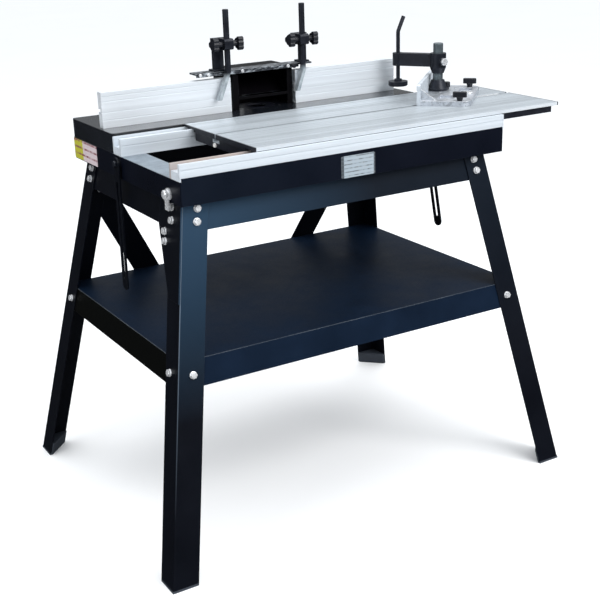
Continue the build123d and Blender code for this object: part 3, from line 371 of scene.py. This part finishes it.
LOOKS = {
    black: ["front_left_leg", "front_right_leg", "rear_left_leg", "rear_right_leg", "long_stand_rails",
            "short_stand_rails", "rear_braces", "corner_gusset", "left_stay", "right_stay"],
    shelf_black: ["shelf"],
    frame_black: ["table_frame"],
    table_black: ["fixed_table"],
    hood_black: ["cutter_hood"],
    alu_top: ["sliding_planks"],
    alu_rail: ["front_rail", "rear_rail", "rail_end_caps", "mitre_fence_plate"],
    alu_fence: ["left_fence_board", "right_fence_board", "fence_base"],
    zinc: ["stand_fasteners", "tongue_stud", "tongue", "clamp_arm_bolt", "board_bolts",
           "hood_screws", "mitre_bar"],
    post_steel: ["clamp_post"],
    dark: ["clamp_flange", "clamp_arm", "stay_bolts", "clamp_screw", "clamp_pad", "hold_down_uprights",
           "hinge_stand_leaves", "hinge_table_leaves"],
    rod: ["left_hold_down", "right_hold_down"],
    rail_dark: ["hold_down_rail"],
    slide_black: ["slide_bars", "insert_ring", "carriage", "slide_end_caps"],
    alloy: ["mitre_head"],
    knob: ["front_mitre_knob", "rear_mitre_knob", "gauge_lock_knob", "hood_knob", "dust_port",
           "left_hold_down_outer_knob", "left_hold_down_inner_knob",
           "right_hold_down_outer_knob", "right_hold_down_inner_knob"],
    foot: ["leg_feet"],
    glide: ["glide_strips", "travel_bumpers"],
    front_label: ["front_plate"],
    side_label: ["side_plate"],
}
for mat, names in LOOKS.items():
    for name in names:
        node = N[name]
        node.data.materials.clear()
        node.data.materials.append(mat)
missing = sorted(set(N) - {n for names in LOOKS.values() for n in names})
if missing:
    raise RuntimeError(f"no material for {missing}")


# ---------------------------------------------------------------- stage
def floor():
    """A pale, plain floor, left out of reflections."""
    mesh = bpy.data.meshes.new("floor")
    s = FLOOR_HALF
    mesh.from_pydata([(-s, -s, 0), (s, -s, 0), (s, s, 0), (-s, s, 0)], [], [(0, 1, 2, 3)])
    obj = bpy.data.objects.new("floor", mesh)
    bpy.context.scene.collection.objects.link(obj)
    n = Net("pale_floor")
    tone = n.mix(n.fit(n.noise(1.5, 3, 0.5)), (0.955, 0.955, 0.955), (0.97, 0.97, 0.97))
    obj.data.materials.append(n.done(tone, 0.7))
    obj.visible_glossy = False


floor()


def studio_world():
    """Bright overhead, dimmer towards the back, dark below the horizon."""
    world = bpy.data.worlds.new("studio")
    bpy.context.scene.world = world
    world.use_nodes = True
    tree = world.node_tree
    split = tree.nodes.new("ShaderNodeSeparateXYZ")
    tree.links.new(tree.nodes.new("ShaderNodeTexCoord").outputs["Generated"], split.inputs[0])
    up = tree.nodes.new("ShaderNodeValToRGB")
    stops = [(0.0, 0.03), (0.49, 0.05), (0.53, 0.24), (0.75, 1.05), (1.0, 1.5)]
    while len(up.color_ramp.elements) < len(stops):
        up.color_ramp.elements.new(0.5)
    for item, (at, v) in zip(up.color_ramp.elements, stops):
        item.position = at
        item.color = (v * 0.93, v * 0.965, v, 1)
    lift = tree.nodes.new("ShaderNodeMapRange")
    lift.inputs["From Min"].default_value = -1.0
    tree.links.new(split.outputs["Z"], lift.inputs["Value"])
    tree.links.new(lift.outputs["Result"], up.inputs["Fac"])
    side = tree.nodes.new("ShaderNodeMapRange")
    for key, v in (("From Min", 1.0), ("From Max", -1.0), ("To Min", 0.75), ("To Max", 1.15)):
        side.inputs[key].default_value = v
    tree.links.new(split.outputs["Y"], side.inputs["Value"])
    background = tree.nodes["Background"]
    tree.links.new(up.outputs["Color"], background.inputs["Color"])
    tree.links.new(side.outputs["Result"], background.inputs["Strength"])


studio_world()


def area(name, place, aim, size, power):
    """A soft rectangular lamp, aimed at a point."""
    data = bpy.data.lights.new(name, "AREA")
    data.shape = "RECTANGLE"
    data.size, data.size_y = size
    data.energy = power
    obj = bpy.data.objects.new(name, data)
    obj.location = place
    obj.rotation_euler = (Vector(aim) - Vector(place)).to_track_quat("-Z", "Y").to_euler()
    bpy.context.scene.collection.objects.link(obj)


area("key", (1.2, -3.2, 3.0), (0, 0, 0.7), (2.6, 2.0), 130)
area("left", (-3.2, -0.6, 1.7), (0, 0, 0.85), (1.6, 1.2), 24)
area("top", (0.2, 0.6, 3.6), (0, 0, 0.9), (3.0, 2.4), 50)

camera_data = bpy.data.cameras.new("camera")
camera_data.sensor_width = CAMERA_SENSOR
camera_data.lens = CAMERA_LENS
camera = bpy.data.objects.new("camera", camera_data)
bpy.context.scene.collection.objects.link(camera)
yaw, pitch, roll = (radians(v) for v in CAMERA_TURN)
forward = Vector((-sin(yaw) * cos(pitch), cos(yaw) * cos(pitch), sin(pitch)))
right = Vector((cos(yaw), sin(yaw), 0))
up = right.cross(forward)
rolled_right = right * cos(roll) + up * sin(roll)
rolled_up = up * cos(roll) - right * sin(roll)
basis = Matrix((rolled_right, rolled_up, -forward)).transposed()
camera.matrix_world = Matrix.Translation(CAMERA_AT) @ basis.to_4x4()
bpy.context.scene.camera = camera
bpy.context.scene.view_settings.view_transform = "Standard"
